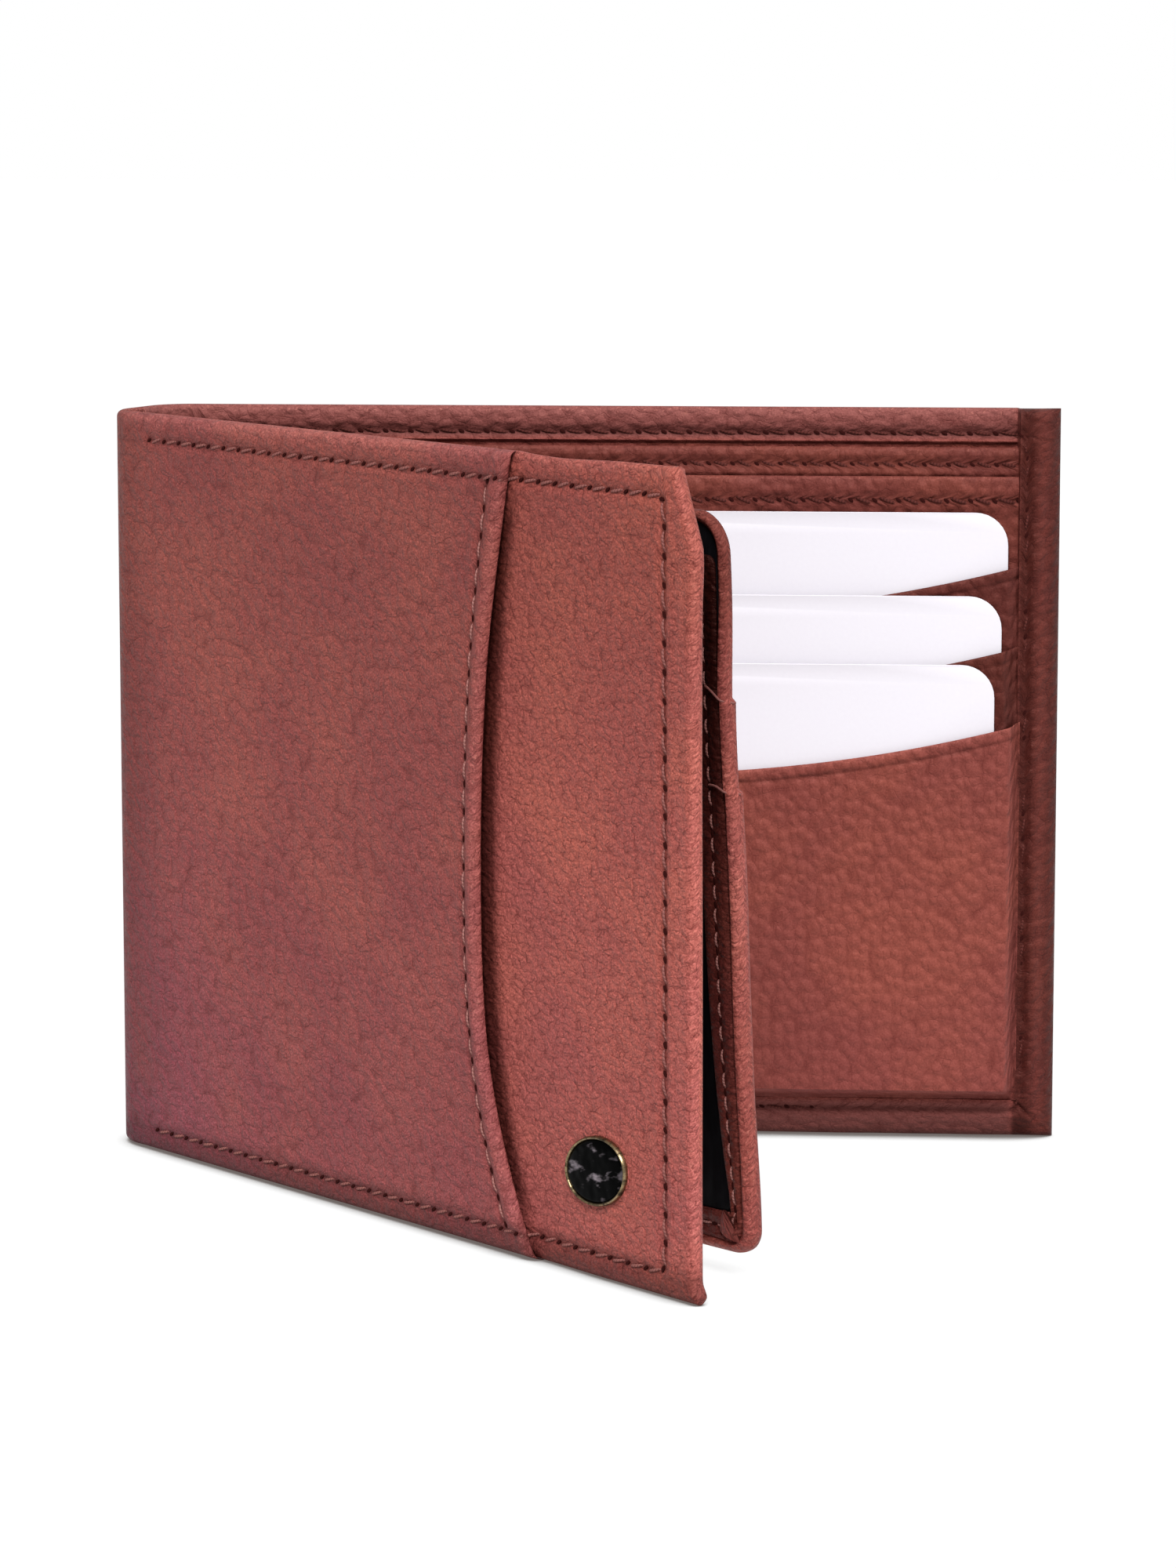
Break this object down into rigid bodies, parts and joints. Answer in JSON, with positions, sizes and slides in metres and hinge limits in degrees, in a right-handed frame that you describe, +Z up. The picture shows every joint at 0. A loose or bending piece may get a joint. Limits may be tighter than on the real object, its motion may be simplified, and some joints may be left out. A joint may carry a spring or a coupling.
{
  "type": "bifold wallet",
  "caption": "Leather bifold wallet standing partly open, with a curved front slip pocket, card slots, a bill compartment and a centre flap with a window.",
  "frame": {"origin": "middle of the base of the bounding box, on the surface that the wallet stands on", "axes": "+X along the back half from the fold to its free edge, +Y out of the back half's outer face, +Z up along the folds"},
  "size_m": [0.1144, 0.0914, 0.0895],
  "materials": {
    "leather_outer": "pebbled, satin",
    "leather_inner": "pebbled, satin",
    "lining": "matte woven",
    "thread": "waxed thread",
    "thread_light": "waxed thread",
    "card": "smooth blank card",
    "window_black": "black, dull",
    "brass": "antiqued",
    "black_enamel": "gloss black"
  },
  "bodies": {
    "back": {"back_shell": "leather_outer", "back_lining": "lining", "bill_divider": "leather_inner", "slot_backing": "leather_inner", "card_slot_1": "leather_inner", "card_slot_2": "leather_inner", "card_slot_3": "leather_inner", "flap_gusset": "leather_inner", "bill_divider_thread": "thread", "slot_backing_thread": "thread"},
    "spine": {"spine_leather": "leather_outer", "spine_lining": "lining"},
    "cover": {"cover_shell": "leather_outer", "cover_pocket_panel": "leather_outer", "cover_inner_panel": "leather_inner", "cover_outer_thread": "thread", "pocket_edge_thread": "thread_light", "emblem_rim": "brass", "emblem_face": "black_enamel", "emblem_post": "brass"},
    "flap": {"flap_panel": "leather_inner", "flap_slot_1": "leather_inner", "flap_slot_2": "leather_inner", "window_frame": "leather_inner", "window_lining": "window_black", "window_frame_thread": "thread_light"},
    "card_1": {"card_1": "card"},
    "card_2": {"card_2": "card"},
    "card_3": {"card_3": "card"}
  },
  "joints": [
    {"name": "spine_fold", "type": "hinge", "parent": "back", "child": "spine", "pos_m": [-0.05181, 0.04533, 0], "axis": [0, 0, 1], "range_deg": [-75, 27]},
    {"name": "cover_fold", "type": "hinge", "parent": "spine", "child": "cover", "pos_m": [-0.05679, 0.03397, 0], "axis": [0, 0, 1], "range_deg": [-66.3, 23.6]},
    {"name": "flap_turn", "type": "hinge", "parent": "back", "child": "flap", "pos_m": [-0.04581, 0.03715, 0], "axis": [0, 0, 1], "range_deg": [-146, 52]},
    {"name": "card_1_slide", "type": "slide", "parent": "back", "child": "card_1", "axis": [0, 0, 1], "range_m": [0, 0.042]},
    {"name": "card_2_slide", "type": "slide", "parent": "back", "child": "card_2", "axis": [0, 0, 1], "range_m": [0, 0.042]},
    {"name": "card_3_slide", "type": "slide", "parent": "back", "child": "card_3", "axis": [0, 0, 1], "range_m": [0, 0.042]}
  ],
  "couplings": [
    {"joint": "spine_fold", "follows": "cover_fold", "ratio": 1},
    {"joint": "flap_turn", "follows": "cover_fold", "ratio": 1.945}
  ]
}
